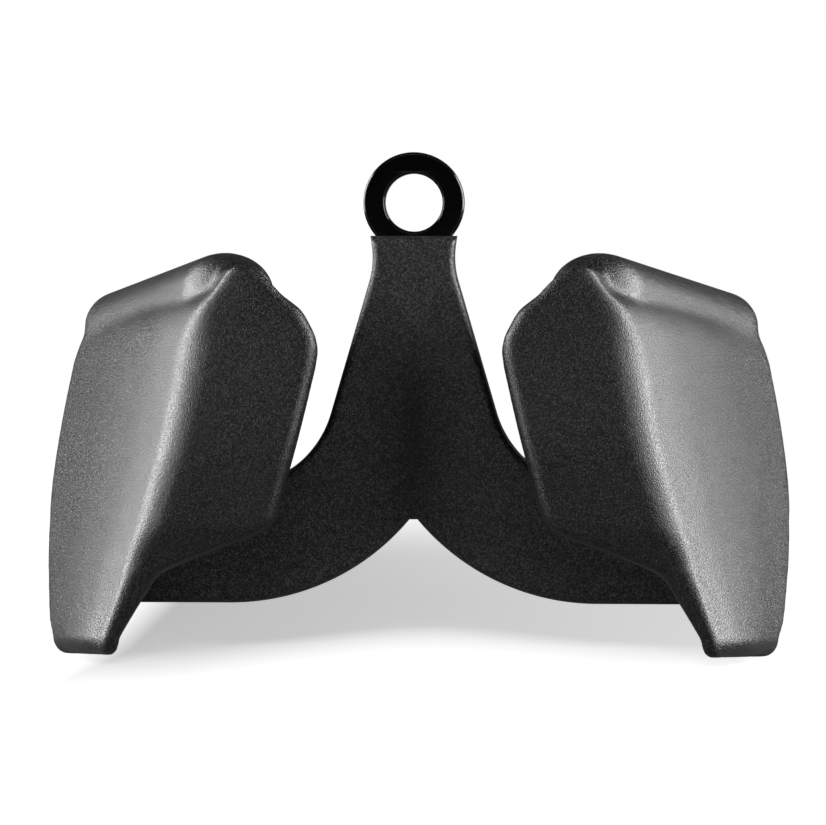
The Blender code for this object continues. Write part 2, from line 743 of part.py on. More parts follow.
def lip_weld_ends():
    """Ends of the bead in the corner under the lip tube, on the finger side."""
    depth = PLATE_INNER_FACE + CLEARANCE + LIP_WELD_RADIUS
    reach = LIP_TUBE_RADIUS + CLEARANCE + LIP_WELD_RADIUS
    drop = math.sqrt(reach ** 2 - (ROLL_DEPTH - depth) ** 2) / math.cos(roll_pitch())
    near = rib_centre() + RIB_THICKNESS + WELD_INSET
    far = PALM_REACH - PALM_PLATE_MARGIN - WELD_INSET
    return [palm_point(u, roll_slope(u) - drop, -depth) for u in (near, far)]


def rib_weld_ends():
    """Ends of the bead behind the thumb rib."""
    stand = RIB_WELD_RADIUS + CLEARANCE
    bottom, top = rib_ends()
    return [palm_point(rib_centre() + RIB_THICKNESS / 2 + stand, q,
                       -PLATE_INNER_FACE - stand)
            for q in (bottom + (top - bottom) * share for share in RIB_WELD_SHARES)]


def weld_list():
    """Name, ends and radius of every bead in a grip."""
    return [("near_arm_weld", arm_weld_ends(-1), ARM_WELD_RADIUS),
            ("far_arm_weld", arm_weld_ends(1), ARM_WELD_RADIUS),
            ("lip_weld", lip_weld_ends(), LIP_WELD_RADIUS),
            ("rib_weld", rib_weld_ends(), RIB_WELD_RADIUS)]


def make_inner_steel(steel, bead):
    make_palm_plate(steel)
    lip_tube("right_lip_tube", PARTS, steel)
    thumb_rib("right_thumb_rib", PARTS, steel)
    for name, ends, radius in weld_list():
        weld(f"right_{name}", ends, radius, PARTS, bead)


def grip_cutters():
    """The hollows that hold the steel, and the slot that the covered arm fills."""
    arm_end = palm_x(PLATE_THICKNESS, ARM_BOTTOM)
    slot = flat_solid("cover_slot", web_outline(-CLEARANCE, COVER_TOP, arm_end),
                      COVER_HALF + CLEARANCE, CUTTERS, None, upright())
    boolean(slot, palm_trim("slot_trim", COLLAR_DEPTH), "DIFFERENCE")
    pocket = flat_solid("arm_pocket", web_outline(COVER_WALL - CLEARANCE, COVER_TOP, arm_end),
                        PLATE_HALF + CLEARANCE, CUTTERS, None, upright())
    boolean(pocket, palm_trim("pocket_trim", PALM_COAT + PALM_PLATE_THICKNESS / 2),
            "DIFFERENCE")
    cutters = [slot, pocket, palm_plate("plate_pocket", CUTTERS, grow=CLEARANCE),
               lip_tube("tube_pocket", CUTTERS, grow=CLEARANCE),
               thumb_rib("rib_pocket", CUTTERS, grow=CLEARANCE)]
    return cutters + [weld(f"{name}_pocket", ends, radius, CUTTERS, grow=CLEARANCE)
                      for name, ends, radius in weld_list()]


def stand_on_origin(grip):
    """Centres the handle in depth on Y = 0 and sets its feet on Z = 0."""
    graph = bpy.context.evaluated_depsgraph_get()
    corners = [Vector(corner) for corner in grip.evaluated_get(graph).bound_box]
    near, far = min(c.y for c in corners), max(c.y for c in corners)
    base = bpy.data.objects.new("handle_base", None)
    for item in list(PARTS.objects) + list(CUTTERS.objects):
        item.parent = base
    PARTS.objects.link(base)
    base.location = (0.0, -(near + far) / 2, -min(c.z for c in corners))


clear_scene()
PARTS = new_collection("close_grip_row_handle")
CUTTERS = new_collection("cutters")

PAINTED_STEEL = material("gloss_black_painted_steel", (0.006, 0.006, 0.007), 0.18)
BARE_STEEL = material("bare_mild_steel", (0.33, 0.34, 0.35), 0.42, 1.0)
WELD_STEEL = material("weld_steel", (0.24, 0.23, 0.22), 0.5, 1.0)
GRAINED_COVER = material("grained_black_polyurethane", (0.012, 0.012, 0.013), 0.55)
GRAINED_GRIP = material("grained_charcoal_polyurethane", (0.030, 0.030, 0.032), 0.52)

make_frame_plate(PAINTED_STEEL)
make_cover(GRAINED_COVER)
make_inner_steel(BARE_STEEL, WELD_STEEL)
right_grip = make_grip(GRAINED_GRIP)
for piece in [item for item in PARTS.objects if item.name.startswith("right_")]:
    left_copy(piece)
stand_on_origin(right_grip)
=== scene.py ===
import math

import bmesh
import bpy
from mathutils import Matrix, Vector


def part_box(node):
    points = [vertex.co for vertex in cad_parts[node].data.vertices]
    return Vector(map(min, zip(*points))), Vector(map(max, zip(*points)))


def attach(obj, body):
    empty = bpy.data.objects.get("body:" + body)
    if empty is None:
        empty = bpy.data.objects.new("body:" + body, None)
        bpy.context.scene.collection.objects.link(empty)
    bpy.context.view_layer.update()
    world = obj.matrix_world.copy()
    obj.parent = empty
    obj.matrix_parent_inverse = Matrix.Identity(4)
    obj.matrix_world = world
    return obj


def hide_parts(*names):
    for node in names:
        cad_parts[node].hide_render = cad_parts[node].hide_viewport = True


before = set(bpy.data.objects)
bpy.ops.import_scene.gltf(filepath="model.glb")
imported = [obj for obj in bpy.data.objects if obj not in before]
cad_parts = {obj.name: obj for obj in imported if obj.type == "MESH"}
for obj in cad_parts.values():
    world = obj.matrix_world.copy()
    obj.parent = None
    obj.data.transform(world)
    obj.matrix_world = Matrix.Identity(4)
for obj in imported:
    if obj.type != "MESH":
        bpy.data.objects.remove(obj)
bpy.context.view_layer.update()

mm = 0.001  # Blender's unit is the metre


# small helpers
def hexColour(code):
    channels = [int(code[i:i + 2], 16) / 255 for i in (1, 3, 5)]
    linear = [c / 12.92 if c <= 0.04045 else ((c + 0.055) / 1.055) ** 2.4 for c in channels]
    return (*linear, 1.0)


def addNode(tree, kind, links=None, **settings):
    node = tree.nodes.new(kind)
    for name, value in settings.items():
        setattr(node, name, value)
    for socket, value in (links or {}).items():
        if isinstance(value, bpy.types.NodeSocket):
            tree.links.new(value, node.inputs[socket])
        else:
            node.inputs[socket].default_value = value
    return node


def newMaterial(name):
    surface = bpy.data.materials.new(name)
    surface.use_nodes = True
    surface.node_tree.nodes.clear()
    return surface, surface.node_tree


def addPiece(name, mesh, surface):
    piece = bpy.data.objects.new(name, mesh)
    mesh.materials.clear()
    mesh.materials.append(surface)
    bpy.context.scene.collection.objects.link(piece)
    return piece


def bakedMesh(item):
    bpy.context.view_layer.update()
    graph = bpy.context.evaluated_depsgraph_get()
    mesh = bpy.data.meshes.new_from_object(item.evaluated_get(graph))
    bpy.data.objects.remove(item, do_unlink=True)
    return mesh


def smoothStep(t):
    t = min(1.0, max(0.0, t))
    return t * t * (3 - 2 * t)


def arcPoints(centre, radius, start, end, steps):
    return [Vector((centre[0] + radius * math.cos(start + (end - start) * i / steps),
                    centre[1] + radius * math.sin(start + (end - start) * i / steps)))
            for i in range(steps + 1)]


# Materials. Each pattern's scale is one over its size in metres.

# The real grain is too fine to show in the render, so it is drawn at about 0.5 mm
grainLook = {"fleckStart": 0.45, "fleckFull": 0.72, "fleckDulling": 0.15,
             "wearPatch": 20 * mm, "wearChange": 0.02}


def grainedPolyurethane(name, dark, pale, grainSize, grainDepth, fleckSize, roughness):
    # Polyurethane moulded in a fine leather-grained tool: dull, nearly black, with a
    # soft grey sheen at grazing angles that the grain breaks into speckles.
    surface, tree = newMaterial(name)
    place = addNode(tree, "ShaderNodeTexCoord").outputs["Object"]
    grain = addNode(tree, "ShaderNodeTexNoise",
                    {"Vector": place, "Scale": 1 / grainSize, "Detail": 1.0})
    # pale, duller flecks set at random in the base colour: partly the grain's own tone, partly
    # painted glints of light on the grain
    fleck = addNode(tree, "ShaderNodeTexNoise",
                    {"Vector": place, "Scale": 1 / fleckSize, "Detail": 0.0,
                     "Distortion": 0.8})
    bump = addNode(tree, "ShaderNodeBump", {"Height": grain.outputs["Fac"],
                                            "Strength": 1.0, "Distance": grainDepth})
    spots = addNode(tree, "ShaderNodeMapRange",
                    {"Value": fleck.outputs["Fac"], "From Min": grainLook["fleckStart"],
                     "From Max": grainLook["fleckFull"]})
    tone = addNode(tree, "ShaderNodeMix", {0: spots.outputs[0], 6: hexColour(dark),
                                           7: hexColour(pale)}, data_type="RGBA")
    # palms polish it in patches, and the flecks are duller
    wear = addNode(tree, "ShaderNodeTexNoise",
                   {"Vector": place, "Scale": 1 / grainLook["wearPatch"], "Detail": 2.0})
    polish = addNode(tree, "ShaderNodeMapRange",
                     {"Value": wear.outputs["Fac"], "From Min": 0.3, "From Max": 0.7,
                      "To Min": roughness - grainLook["wearChange"],
                      "To Max": roughness + grainLook["wearChange"]})
    gloss = addNode(tree, "ShaderNodeMath",
                    {0: spots.outputs[0], 1: grainLook["fleckDulling"], 2: polish.outputs[0]},
                    operation="MULTIPLY_ADD")
    shader = addNode(tree, "ShaderNodeBsdfPrincipled",
                     {"Base Color": tone.outputs[2], "Roughness": gloss.outputs[0],
                      "Normal": bump.outputs[0], "IOR": 1.5})
    addNode(tree, "ShaderNodeOutputMaterial", {"Surface": shader.outputs[0]})
    return surface


enamelLook = {"dark": "#010101", "pale": "#020202", "peelSize": 2.2 * mm,
              "peelDepth": 0.012 * mm, "roughness": 0.13}


def glossPaint(name):
    # Gloss black enamel stoved onto steel: a hard clear reflection over a deep black,
    # with a faint orange peel.
    surface, tree = newMaterial(name)
    place = addNode(tree, "ShaderNodeTexCoord").outputs["Object"]
    peel = addNode(tree, "ShaderNodeTexNoise",
                   {"Vector": place, "Scale": 1 / enamelLook["peelSize"], "Detail": 2.0})
    bump = addNode(tree, "ShaderNodeBump",
                   {"Height": peel.outputs["Fac"], "Strength": 1.0,
                    "Distance": enamelLook["peelDepth"]})
    tone = addNode(tree, "ShaderNodeMix",
                   {0: peel.outputs["Fac"], 6: hexColour(enamelLook["dark"]),
                    7: hexColour(enamelLook["pale"])}, data_type="RGBA")
    shader = addNode(tree, "ShaderNodeBsdfPrincipled",
                     {"Base Color": tone.outputs[2], "Roughness": enamelLook["roughness"],
                      "Normal": bump.outputs[0], "IOR": 1.5})
    addNode(tree, "ShaderNodeOutputMaterial", {"Surface": shader.outputs[0]})
    return surface


def bareSteel(name, dark, pale, roughness, patchSize, patchDepth=0.05 * mm):
    # Hot rolled steel as it leaves the mill, or a weld bead: grey with a patchy skin.
    surface, tree = newMaterial(name)
    place = addNode(tree, "ShaderNodeTexCoord").outputs["Object"]
    scale = addNode(tree, "ShaderNodeTexNoise",
                    {"Vector": place, "Scale": 1 / patchSize, "Detail": 5.0})
    bump = addNode(tree, "ShaderNodeBump",
                   {"Height": scale.outputs["Fac"], "Strength": 0.6, "Distance": patchDepth})
    tone = addNode(tree, "ShaderNodeMix", {0: scale.outputs["Fac"], 6: hexColour(dark),
                                           7: hexColour(pale)}, data_type="RGBA")
    shader = addNode(tree, "ShaderNodeBsdfPrincipled",
                     {"Base Color": tone.outputs[2], "Metallic": 1.0, "Roughness": roughness,
                      "Normal": bump.outputs[0]})
    addNode(tree, "ShaderNodeOutputMaterial", {"Surface": shader.outputs[0]})
    return surface


gripFinish = {"dark": "#0a0a0b", "pale": "#373739", "grainSize": 0.5 * mm,
              "grainDepth": 0.22 * mm, "fleckSize": 0.5 * mm, "roughness": 0.31}
webFinish = {"dark": "#060607", "pale": "#4c4c50", "grainSize": 0.6 * mm,
             "grainDepth": 0.3 * mm, "fleckSize": 0.45 * mm, "roughness": 0.34}
gripSkin = grainedPolyurethane("charcoalGrainedPolyurethane", **gripFinish)
webSkin = grainedPolyurethane("blackGrainedPolyurethane", **webFinish)
enamel = glossPaint("glossBlackStovedEnamel")
millSteel = bareSteel("hotRolledMildSteel", dark="#6f7275", pale="#9a9c9e", roughness=0.42,
                      patchSize=3.0 * mm)
weldSteel = bareSteel("steelWeldBead", dark="#5d5b59", pale="#8a8681", roughness=0.5,
                      patchSize=1.2 * mm)
print("materials ready")

# Frame plate: one flat with an eye, a neck and two arms
plate = {"thickness": 8 * mm, "eyeHeight": 157.5 * mm, "eyeRadius": 17.5 * mm,
         "holeRadius": 10 * mm, "armEnd": 88 * mm, "edge": 0.9 * mm, "edgeSteps": 4,
         "ringSteps": 160}
# Web cover, which follows the plate at the distance of its wall
web = {"wall": 3.5 * mm, "faceWall": 4 * mm, "top": 146 * mm, "edge": 2.5 * mm,
       "neckHalf": 13.8 * mm, "waist": 135.5 * mm, "topHalf": 14.9 * mm,
       "neckCorner": (13.5 * mm, 136.5 * mm), "neckRound": 30 * mm,
       "flareAngle": math.radians(16.3), "flareEnd": 84.5 * mm, "armRadius": 36 * mm,
       "armBottom": 18.5 * mm, "bellyRadius": 81 * mm, "bellyX": 63.7 * mm,
       "archFlat": 1.4 * mm, "armEnd": 104 * mm, "arcSteps": 30, "neckSteps": 12,
       "edgeSteps": 5}

plateLow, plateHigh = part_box("eye_plate")
home = Vector((0.0, (plateLow.y + plateHigh.y) / 2,
               plateHigh.z - plate["eyeHeight"] - plate["eyeRadius"]))


def webHalf(wall, armEnd):
    # The right half of an outline below the neck: flare, arm, its end, belly and arch
    flare = web["flareAngle"]
    flareEnd = Vector((web["neckHalf"] + (web["waist"] - web["flareEnd"]) * math.tan(flare),
                       web["flareEnd"]))
    armCentre = flareEnd + Vector((math.cos(flare), math.sin(flare))) * web["armRadius"]
    belly = Vector((web["bellyX"], web["armBottom"] + web["bellyRadius"]))
    arch = math.acos((web["bellyX"] - web["archFlat"]) / (web["bellyRadius"] - wall))
    points = arcPoints(armCentre, web["armRadius"] + wall, math.pi + flare, 1.5 * math.pi,
                       web["arcSteps"])
    points += [Vector((armEnd, armCentre.y - web["armRadius"] - wall)),
               Vector((armEnd, web["armBottom"] + wall))]
    points += arcPoints(belly, web["bellyRadius"] - wall, -math.pi / 2, -math.pi + arch,
                        2 * web["arcSteps"])
    return points


def mirrored(points):
    return points + [Vector((-p.x, p.y)) for p in reversed(points)]


def flatPiece(name, outlines, half, edge, steps, closest=0.02 * mm, merge=0.005 * mm):
    # Outlines in X and height, filled and thickened along Y with rounded edges. Points
    # nearer than the closest distance are left out.
    curve = bpy.data.curves.new(name, "CURVE")
    curve.dimensions = "2D"
    curve.fill_mode = "BOTH"
    curve.extrude = half - edge
    curve.bevel_depth = edge
    curve.bevel_resolution = steps
    curve.offset = -edge
    for outline in outlines:
        outline = [p for i, p in enumerate(outline) if (p - outline[i - 1]).length > closest]
        spline = curve.splines.new("POLY")
        spline.points.add(len(outline) - 1)
        for point, corner in zip(spline.points, outline):
            point.co = (corner.x, corner.y, 0.0, 1.0)
        spline.use_cyclic_u = True
    source = bpy.data.objects.new(name, curve)
    bpy.context.scene.collection.objects.link(source)
    mesh = bakedMesh(source)
    mesh.transform(Matrix.Translation(home) @ Matrix.Rotation(math.pi / 2, 4, "X"))
    work = bmesh.new()
    work.from_mesh(mesh)
    bmesh.ops.remove_doubles(work, verts=work.verts, dist=merge)
    bmesh.ops.recalc_face_normals(work, faces=work.faces)
    for face in work.faces:
        face.smooth = True
    work.to_mesh(mesh)
    work.free()
    return mesh


# Grip: stations from the foot to the thumb's peak, close to the solid's. Their columns are
# height, near inner corner, near palm corner, reach and far wall, each as a share.
grip = {"offset": 113.15 * mm, "splay": math.radians(27.5), "lean": math.radians(15),
        "reach": 112 * mm, "height": 134.5 * mm, "innerX": 26 * mm, "peakX": 59 * mm,
        "back": 20 * mm, "hollow": 3 * mm, "footRise": 2.9 * mm, "crestDrop": 13.5 * mm,
        # near face: it bends back above one height, and the leg falls back in two steps,
        # each with the height where it starts and its run downwards
        "nearDepth": 46 * mm, "setBack": 8 * mm, "bendHeight": 75 * mm, "bendSlope": 1.5,
        "bendEase": 0.2, "nearTurn": 2 * mm, "turnStart": 0.5, "turnRun": 0.4,
        "leg": 11.6 * mm, "legBack": 3 * mm,
        "legSteps": [(50 * mm, 16 * mm), (36 * mm, 36 * mm)],
        # rounded corners, and the share of a side that the rounds at its ends may take
        "footRound": 6 * mm, "nearRound": 4.5 * mm, "legRound": 6 * mm,
        "palmRound": 17 * mm, "farRound": 6 * mm, "peakStart": 0.8, "peakRound": 0.3,
        "roundShare": 0.9,
        # crest of the thumb block, and the valley behind it
        "crest": 2 * mm, "valley": 5 * mm, "valleyStart": 0.92, "valleyRise": 0.08,
        "valleyRun": 5 * mm,
        # finger roll
        "rollRadius": 14 * mm, "rollProud": 1.4 * mm, "rollSunk": 0.4 * mm,
        "rollNear": 1.5 * mm, "rollFar": 109.3 * mm, "rollNearHeight": 129.1 * mm,
        "rollFarHeight": 109.9 * mm, "rollNearRound": 13 * mm, "rollFarRound": 9 * mm,
        # lip round the arm of the web's cover
        "collarDepth": 20 * mm, "collarHidden": 12 * mm, "collarProud": 0.5 * mm,
        # fineness of the mesh
        "levels": 90, "footSteps": 10, "arcSteps": 14, "sideSteps": 18, "rollSteps": 10,
        "rollSides": 64, "voxel": 0.8 * mm, "softPasses": 12}
# The palm face bends towards the thumb block: place along it, rise, and radius
palmBends = [(0.22, 2.1 * mm, 260 * mm), (0.50, 2.6 * mm, 600 * mm)]
stations = [
    (0.069, 1.11, 0.00, 0.560, 0.66), (0.105, 1.09, 0.00, 0.620, 0.66),
    (0.150, 1.06, 0.00, 0.670, 0.67), (0.200, 1.02, 0.00, 0.720, 0.69),
    (0.235, 0.97, 0.00, 0.752, 0.71), (0.268, 0.81, 0.00, 0.780, 0.74),
    (0.302, 0.61, 0.00, 0.805, 0.78), (0.336, 0.39, 0.00, 0.828, 0.82),
    (0.370, 0.28, 0.00, 0.848, 0.86), (0.410, 0.25, 0.00, 0.878, 0.90),
    (0.500, 0.205, 0.00, 0.920, 0.96), (0.600, 0.14, 0.00, 0.950, 1.00),
    (0.700, 0.067, 0.00, 0.970, 1.00), (0.790, 0.00, 0.00, 0.980, 1.00),
    (0.835, 0.02, 0.00, 0.985, 1.00), (0.870, 0.09, 0.02, 0.980, 0.95),
    (0.905, 0.18, 0.10, 0.970, 0.85), (0.935, 0.34, 0.28, 0.955, 0.70),
    (0.968, 0.48, 0.54, 0.935, 0.55), (0.996, 0.62, 0.80, 0.910, 0.40),
    (1.014, 0.74, 0.96, 0.895, 0.32)]

splay, lean = grip["splay"], grip["lean"]
along = Vector((math.sin(splay), math.cos(splay), 0.0))
level = Vector((math.cos(splay), -math.sin(splay), 0.0))
upSlope = Vector((0.0, 0.0, math.cos(lean))) - level * math.sin(lean)
outward = level * math.cos(lean) + Vector((0.0, 0.0, math.sin(lean)))


def palmX(y, z):
    return (grip["offset"] - z * math.tan(lean) + y * math.sin(splay)) / math.cos(splay)


def palmLine(u, z):
    out = grip["offset"] - z * math.tan(lean)
    return Vector((u * math.sin(splay) + out * math.cos(splay),
                   u * math.cos(splay) - out * math.sin(splay)))


def stationAt(height):
    # Smooth curve through the stations
    k = max(i for i in range(len(stations) - 1) if stations[i][0] <= height or i == 0)
    a, b = stations[k], stations[k + 1]
    span = b[0] - a[0]
    t = (height - a[0]) / span
    before, after = stations[max(k - 1, 0)], stations[min(k + 2, len(stations) - 1)]
    row = [height]
    for c in range(1, 5):
        slopeA = (b[c] - before[c]) / (b[0] - before[0]) * span
        slopeB = (after[c] - a[c]) / (after[0] - a[0]) * span
        row.append(a[c] * (2 * t ** 3 - 3 * t ** 2 + 1) + slopeA * (t ** 3 - 2 * t ** 2 + t)
                   + b[c] * (3 * t ** 2 - 2 * t ** 3) + slopeB * (t ** 3 - t ** 2))
    return row


def nearPlane(z):
    rise = grip["bendSlope"] * (z - grip["bendHeight"]) / (grip["height"] - grip["bendHeight"])
    soft = grip["bendEase"]  # eased bends in place of the solid's corners
    rise = 0.5 * (rise + math.sqrt(rise * rise + soft * soft) - soft)
    rise = 1 - 0.5 * ((1 - rise) + math.sqrt((1 - rise) ** 2 + soft * soft) - soft)
    under = sum(smoothStep((top - z) / run) for top, run in grip["legSteps"])
    return grip["setBack"] * rise - grip["nearDepth"] + grip["legBack"] * under


def farDrop(height):
    return grip["footRise"] + (grip["crestDrop"] - grip["footRise"]) * height


def stationCorners(row):
    height, inner, outer, reach, back = row
    z = height * grip["height"]
    y = nearPlane(z)
    palm = palmX(y, z)
    leg = palm - grip["leg"] / math.cos(splay)
    nearInner = Vector((grip["innerX"] + (leg - grip["innerX"]) * inner, y))
    turn = grip["nearTurn"] * smoothStep((height - grip["turnStart"]) / grip["turnRun"])
    nearPalm = Vector((palm + (grip["peakX"] - palm) * outer + turn * math.tan(splay),
                       y + turn))
    farPalm = palmLine(grip["reach"] * reach, z - farDrop(height))
    inward = Vector((-math.cos(splay), math.sin(splay)))
    farPalm += inward * (palm - grip["peakX"]) * outer * math.cos(splay)
    face = farPalm - nearPalm
    out = Vector((face.y, -face.x)).normalized()
    bends = [nearPalm + face * share + out * rise for share, rise, _ in palmBends]
    return [nearInner, nearPalm, *bends, farPalm, farPalm + inward * grip["back"] * back]


def halfAngle(before, corner, after):
    a, b = (before - corner).normalized(), (after - corner).normalized()
    return math.acos(max(-1.0, min(1.0, a.dot(b)))) / 2


def fittedRounds(corners, rounds):
    # Rounds made smaller where two of them would meet on one side
    count = len(corners)
    halves = [halfAngle(corners[i - 1], corners[i], corners[(i + 1) % count])
              for i in range(count)]
    fitted = list(rounds)
    for i in range(count):
        j = (i + 1) % count
        side = (corners[j] - corners[i]).length
        need = rounds[i] / math.tan(halves[i]) + rounds[j] / math.tan(halves[j])
        free = side * grip["roundShare"]
        if need > free:
            fitted[i] = min(fitted[i], rounds[i] * free / need)
            fitted[j] = min(fitted[j], rounds[j] * free / need)
    return fitted


def roundedCorner(before, corner, after, radius, steps):
    a, b = (before - corner).normalized(), (after - corner).normalized()
    half = halfAngle(before, corner, after)
    centre = corner + (a + b).normalized() * radius / math.sin(half)
    start = corner + a * radius / math.tan(half) - centre
    end = corner + b * radius / math.tan(half) - centre
    turn, first = start.angle_signed(end), math.atan2(start.y, start.x)
    return [centre + Vector((math.cos(first - turn * i / steps),
                             math.sin(first - turn * i / steps))) * radius
            for i in range(steps + 1)]


def towardSpine(plan, corners, amount, ends=0.25, most=0.75):
    # A plan drawn in towards the line down its middle, never all the way
    near, far = (corners[0] + corners[1]) / 2, (corners[-2] + corners[-1]) / 2
    run = far - near
    moved = []
    for point in plan:
        share = min(1 - ends, max(ends, (point - near).dot(run) / run.dot(run)))
        gap = near + run * share - point
        moved.append(point + gap.normalized() * min(amount, gap.length * most))
    return moved


def stationRing(row, shrink=0.0, sink=0.0):
    height = row[0]
    corners = stationCorners(row)
    top = max(0.0, (height - grip["peakStart"]) / (1 - grip["peakStart"]))
    leg = min(1.0, max(0.0, row[1]))
    rounds = [grip["nearRound"] + (grip["legRound"] - grip["nearRound"]) * leg,
              (grip["palmRound"] + (grip["legRound"] - grip["palmRound"]) * leg)
              * (1 - top * (1 - grip["peakRound"])),
              *[radius for _, _, radius in palmBends], grip["farRound"], grip["farRound"]]
    rounds = fittedRounds(corners, rounds)
    hollow = grip["hollow"] * (1 - leg)
    count = len(corners)
    arcs = [roundedCorner(corners[i - 1], corners[i], corners[(i + 1) % count], rounds[i],
                          grip["arcSteps"]) for i in range(count)]
    plan = []
    for i in range(count):
        plan += arcs[i]
        start, end = arcs[i][-1], arcs[(i + 1) % count][0]
        run = (end - start).normalized()
        dip = hollow if i == count - 1 else 0.0  # the finger side is hollow
        for k in range(1, grip["sideSteps"]):
            share = k / grip["sideSteps"]
            plan.append(start.lerp(end, share)
                        - Vector((run.y, -run.x)) * dip * 4 * share * (1 - share))
    if shrink:
        plan = towardSpine(plan, corners, shrink)
    near = min(p.y for p in plan)
    depth = max(p.y for p in plan) - near
    base = height * grip["height"] - sink
    points = []
    for p in plan:
        # a valley behind the thumb block's crest, where the roll begins
        high = smoothStep((height - grip["valleyStart"]) / grip["valleyRise"])
        behind = smoothStep((p.y - near - grip["crest"]) / grip["valleyRun"])
        dip = grip["valley"] * high * behind
        points.append(Vector((p.x + dip * math.tan(lean) / math.cos(splay), p.y,
                              base - dip - farDrop(height) * (p.y - near) / depth)))
    return points


def slopeAt(height):
    depth = grip["rollRadius"] - grip["rollProud"]
    return (height + depth * math.sin(lean)) / math.cos(lean)


def palmPoint(u, q, r):
    return level * grip["offset"] + along * u + upSlope * q + outward * r


def addSkin(work, rings):
    # A closed skin through rings of points, added to a mesh being built
    skins = [[work.verts.new(point) for point in ring] for ring in rings]
    for lower, upper in zip(skins, skins[1:]):
        for i in range(len(lower)):
            j = (i + 1) % len(lower)
            work.faces.new((lower[i], lower[j], upper[j], upper[i]))
    work.faces.new(list(reversed(skins[0])))
    work.faces.new(skins[-1])


def addRoll(work, start, end):
    # The finger roll: a round bar with rounded ends, the near one cut parallel to the
    # near face
    radius, steps, sides = grip["rollRadius"], grip["rollSteps"], grip["rollSides"]
    nearRound, farRound = grip["rollNearRound"], grip["rollFarRound"]
    run = end - start
    turn = run.to_track_quat("Z", "Y").to_matrix()
    profile = [(radius - nearRound + p.x, nearRound + p.y)
               for p in arcPoints((0, 0), nearRound, -math.pi / 2, 0.0, steps)]
    profile += [(radius - farRound + p.x, run.length - farRound - p.y)
                for p in reversed(arcPoints((0, 0), farRound, -math.pi / 2, 0.0, steps))]
    rings = []
    for count, (r, z) in enumerate(profile):
        ring = [turn @ Vector((r * math.cos(a), r * math.sin(a), z))
                for a in (2 * math.pi * i / sides for i in range(sides))]
        if count <= steps:
            ring = [p + along * p.dot(level) * math.tan(splay) for p in ring]
        rings.append([start + p for p in ring])
    addSkin(work, rings)


def addCollar(work):
    # The lip round the arm of the web's cover, parallel to the palm where it ends
    y = plate["thickness"] / 2 + web["faceWall"] + grip["collarProud"]
    low = web["armBottom"] - grip["collarProud"]
    high = web["flareEnd"] + web["armRadius"] * (math.sin(web["flareAngle"]) - 1)
    depth = grip["collarDepth"] / (math.cos(splay) * math.cos(lean))
    top = high + grip["collarProud"]
    addSkin(work, [[Vector((palmX(side, z) - back, side, z))
                    for side, z in ((-y, low), (y, low), (y, top), (-y, top))]
                   for back in (depth, grip["collarHidden"])])


def rightGripMesh():
    work = bmesh.new()
    foot, footSteps = stations[0], grip["footSteps"]
    rings = [stationRing(foot, grip["footRound"] * (1 - math.sin(t)),
                         grip["footRound"] * math.cos(t))
             for t in (math.pi / 2 * i / footSteps for i in range(footSteps))]
    low, high = stations[0][0], stations[-1][0]
    rings += [stationRing(stationAt(low + (high - low) * i / grip["levels"]))
              for i in range(grip["levels"] + 1)]
    addSkin(work, rings)
    # the roll is just under the palm at its near end and proud of it at its far end
    addRoll(work, palmPoint(grip["rollNear"], slopeAt(grip["rollNearHeight"]),
                            -grip["rollRadius"] - grip["rollSunk"]),
            palmPoint(grip["rollFar"], slopeAt(grip["rollFarHeight"]),
                      grip["rollProud"] - grip["rollRadius"]))
    addCollar(work)
    bmesh.ops.recalc_face_normals(work, faces=work.faces)
    mesh = bpy.data.meshes.new("rightGripForm")
    work.to_mesh(mesh)
    work.free()
    mesh.transform(Matrix.Translation(home))
    return mesh


def softened(mesh):
    # One even skin over overlapping forms, then eased so that joints blend
    form = addPiece("form", mesh, gripSkin)
    remesh = form.modifiers.new("skin", "REMESH")
    remesh.mode = "VOXEL"
    remesh.voxel_size = grip["voxel"]
    remesh.use_smooth_shade = True
    ease = form.modifiers.new("ease", "SMOOTH")
    ease.factor = 0.5
    ease.iterations = grip["softPasses"]
    return bakedMesh(form)


# Creases: soft blends beside the roll and at the crest of the thumb block, with depths
# from the palm or the near face
creases = {"palmSide": 7 * mm, "palmDepth": -9 * mm, "fingerSide": 9 * mm,
           "fingerDepth": -14 * mm, "width": 9 * mm, "gain": 1.6,
           "clearStart": 5 * mm, "clearRun": 8 * mm,
           "crestStart": 92 * mm, "crestRun": 14 * mm, "crestDepth": 16 * mm,
           "crestFade": 8 * mm, "crestShare": 0.3, "passes": 60}


def easedCreases(mesh):
    form = addPiece("form", mesh, gripSkin)
    group = form.vertex_groups.new(name="creases")
    low, high = slopeAt(grip["rollFarHeight"]), slopeAt(grip["rollNearHeight"])
    for vertex in mesh.vertices:
        point = vertex.co - home
        u = point.dot(along)
        q = point.dot(upSlope) + grip["offset"] * math.sin(lean)
        r = point.dot(outward) - grip["offset"] * math.cos(lean)
        share = (u - grip["rollNear"]) / (grip["rollFar"] - grip["rollNear"])
        rollQ = high + (low - high) * share
        beside = 0.0
        if r > creases["palmDepth"]:
            beside = 1 - abs(q - rollQ + creases["palmSide"]) / creases["width"]
        elif r < creases["fingerDepth"]:
            beside = 1 - abs(q - rollQ + creases["fingerSide"]) / creases["width"]
        depth = point.y - nearPlane(point.z)
        clear = smoothStep((depth - creases["clearStart"]) / creases["clearRun"])
        crest = smoothStep((point.z - creases["crestStart"]) / creases["crestRun"])
        crest *= smoothStep((creases["crestDepth"] - depth) / creases["crestFade"])
        weight = max(smoothStep(creases["gain"] * beside) * clear,
                     crest * creases["crestShare"])
        if weight > 0:
            group.add([vertex.index], weight, "REPLACE")
    ease = form.modifiers.new("creases", "SMOOTH")
    ease.factor = 0.5
    ease.iterations = creases["passes"]
    ease.vertex_group = group.name
    return bakedMesh(form)


